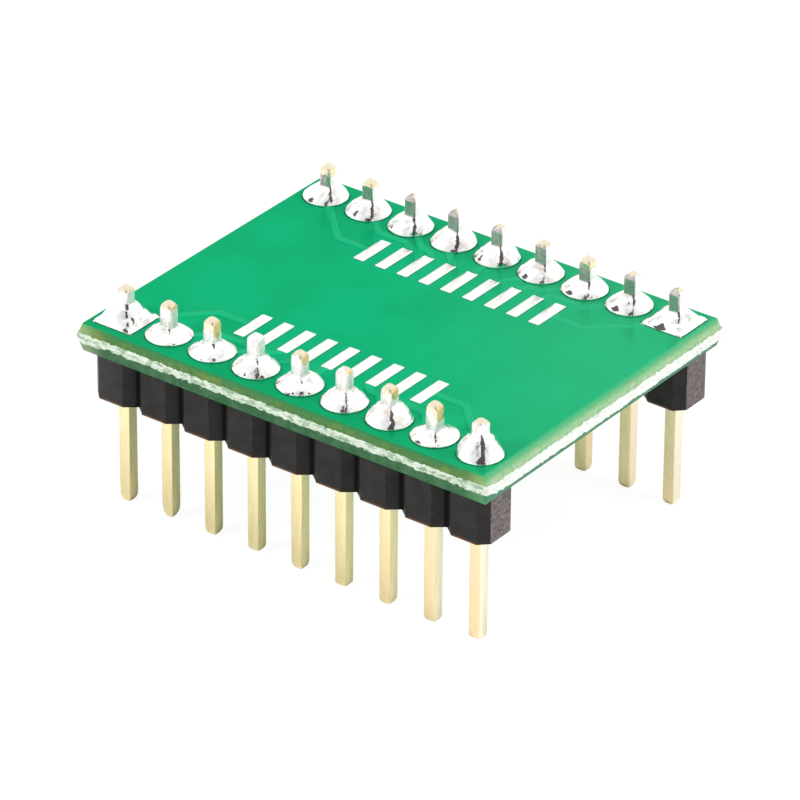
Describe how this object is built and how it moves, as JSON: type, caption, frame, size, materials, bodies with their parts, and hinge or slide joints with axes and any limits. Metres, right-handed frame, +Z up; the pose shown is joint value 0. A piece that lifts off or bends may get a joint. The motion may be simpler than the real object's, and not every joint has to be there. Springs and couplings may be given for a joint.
{
  "type": "ic adapter board",
  "caption": "Adapter board that carries a wide small-outline chip on its top face and plugs into a dual in-line socket or breadboard on rows of square pins.",
  "frame": {"origin": "under the centre of the board, on the surface that the pin tips stand on", "axes": "+X along the pin rows, +Y from the front row (pin 1) to the back row, +Z up through the board"},
  "size_m": [0.0236, 0.0188, 0.0115],
  "materials": {
    "laminate": "rough snapped edge",
    "mask": "glossy",
    "strip": "matte",
    "pin": "bright gold plate",
    "solder": "bright",
    "net": "bright tinned copper"
  },
  "bodies": {
    "root": {"laminate": "laminate", "mask_top": "mask", "mask_bottom": "mask", "strip_front": "strip", "strip_back": "strip", "pin_1": "pin", "pin_2": "pin", "pin_3": "pin", "pin_4": "pin", "pin_5": "pin", "pin_6": "pin", "pin_7": "pin", "pin_8": "pin", "pin_9": "pin", "pin_10": "pin", "pin_11": "pin", "pin_12": "pin", "pin_13": "pin", "pin_14": "pin", "pin_15": "pin", "pin_16": "pin", "pin_17": "pin", "pin_18": "pin", "solder_1": "solder", "solder_2": "solder", "solder_3": "solder", "solder_4": "solder", "solder_5": "solder", "solder_6": "solder", "solder_7": "solder", "solder_8": "solder", "solder_9": "solder", "solder_10": "solder", "solder_11": "solder", "solder_12": "solder", "solder_13": "solder", "solder_14": "solder", "solder_15": "solder", "solder_16": "solder", "solder_17": "solder", "solder_18": "solder", "net_1": "net", "net_2": "net", "net_3": "net", "net_4": "net", "net_5": "net", "net_6": "net", "net_7": "net", "net_8": "net", "net_9": "net", "net_10": "net", "net_11": "net", "net_12": "net", "net_13": "net", "net_14": "net", "net_15": "net", "net_16": "net", "net_17": "net", "net_18": "net"}
  },
  "joints": []
}
